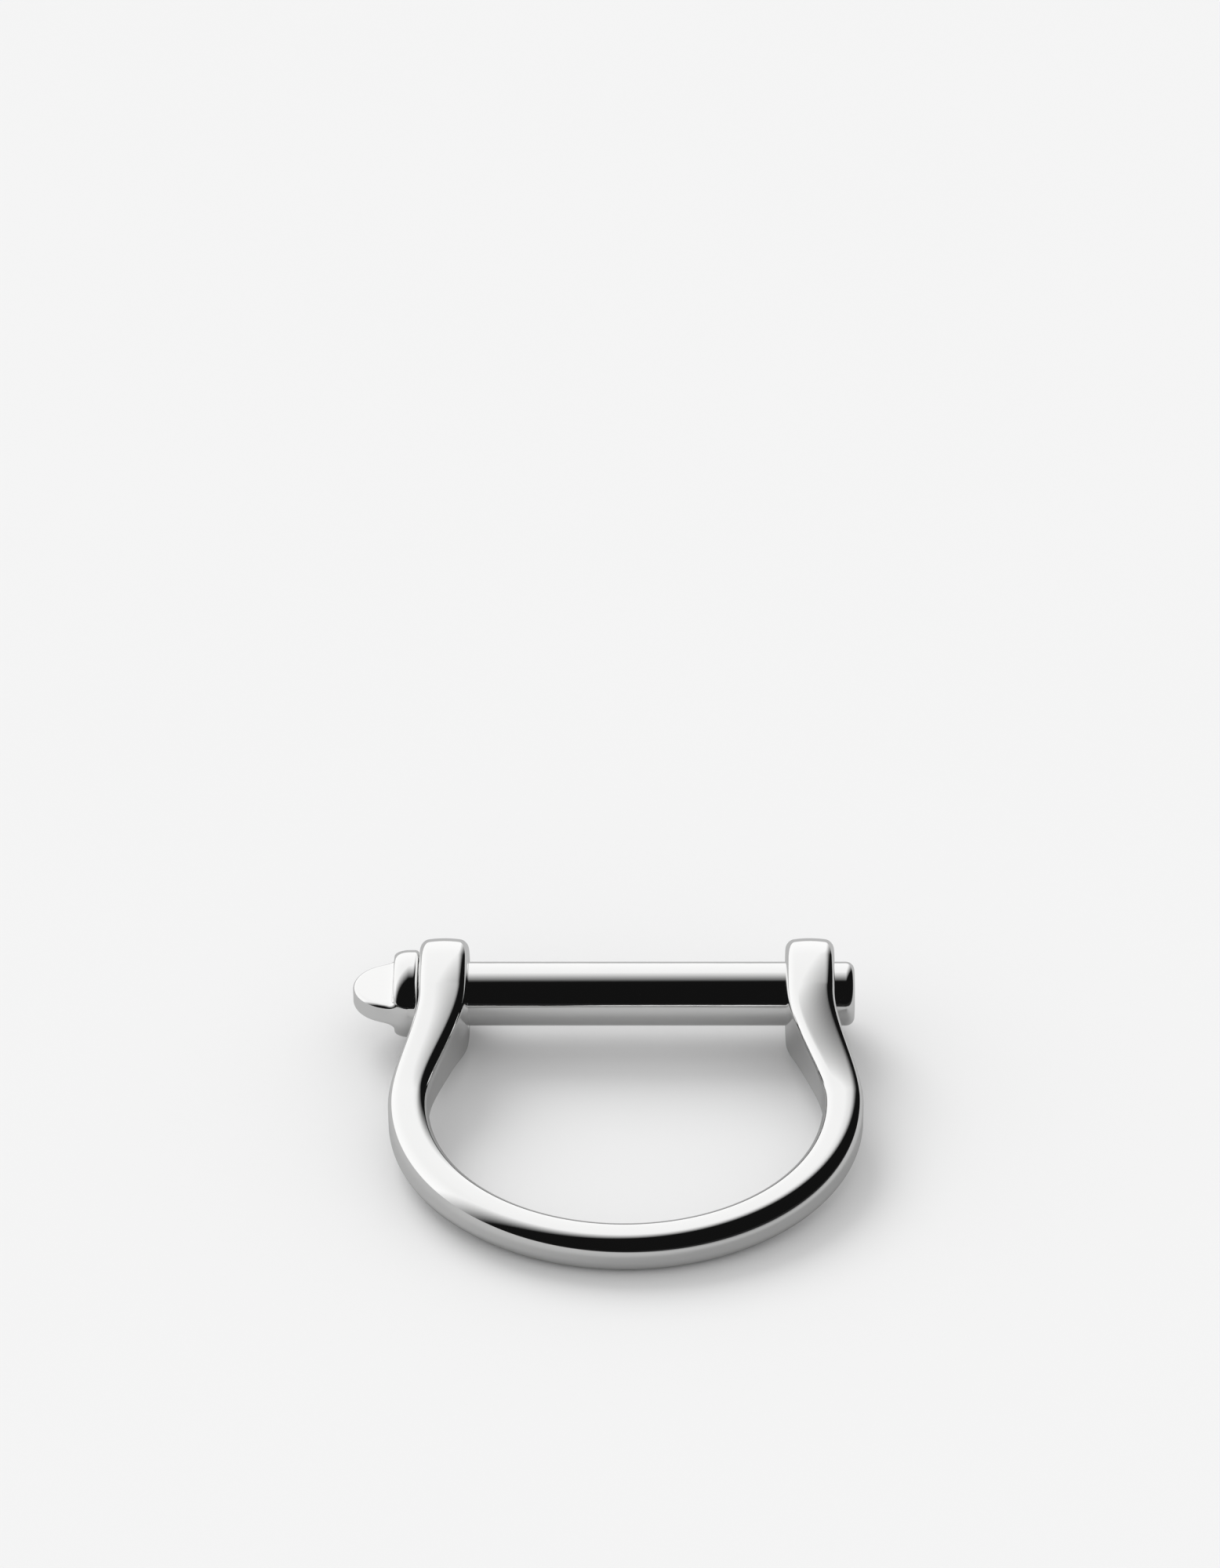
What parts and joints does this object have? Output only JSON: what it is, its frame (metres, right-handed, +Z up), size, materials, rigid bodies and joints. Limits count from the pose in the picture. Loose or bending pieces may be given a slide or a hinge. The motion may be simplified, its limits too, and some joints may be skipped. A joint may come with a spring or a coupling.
{
  "type": "shackle finger ring",
  "caption": "Finger ring in the shape of a bow shackle, closed by a screw pin with a collar and a half-round thumb tab.",
  "frame": {"origin": "on the surface the ring lies on, under the middle of its footprint", "axes": "+X along the pin towards its plain end, +Y from the front of the bow towards the pin, +Z up"},
  "size_m": [0.0262, 0.0222, 0.0057],
  "materials": {
    "polished_silver": "mirror-polished cast silver",
    "drawn_silver": "polished drawn silver rod"
  },
  "bodies": {
    "bow": {"bow": "polished_silver"},
    "pin_shank": {"pin_shank": "drawn_silver"},
    "pin_head": {"pin_head": "polished_silver"}
  },
  "joints": [
    {"name": "pin_draw", "type": "slide", "parent": "bow", "child": "pin_shank", "axis": [-1, 0, 0], "range_m": [0, 0.023]},
    {"name": "pin_turn", "type": "hinge", "parent": "pin_shank", "child": "pin_head", "pos_m": [-0.0119, 0.0082, 0.00287], "axis": [-1, 0, 0], "range_deg": [0, 16560]}
  ],
  "couplings": [
    {"joint": "pin_turn", "follows": "pin_draw", "rad_per_m": 12566}
  ]
}
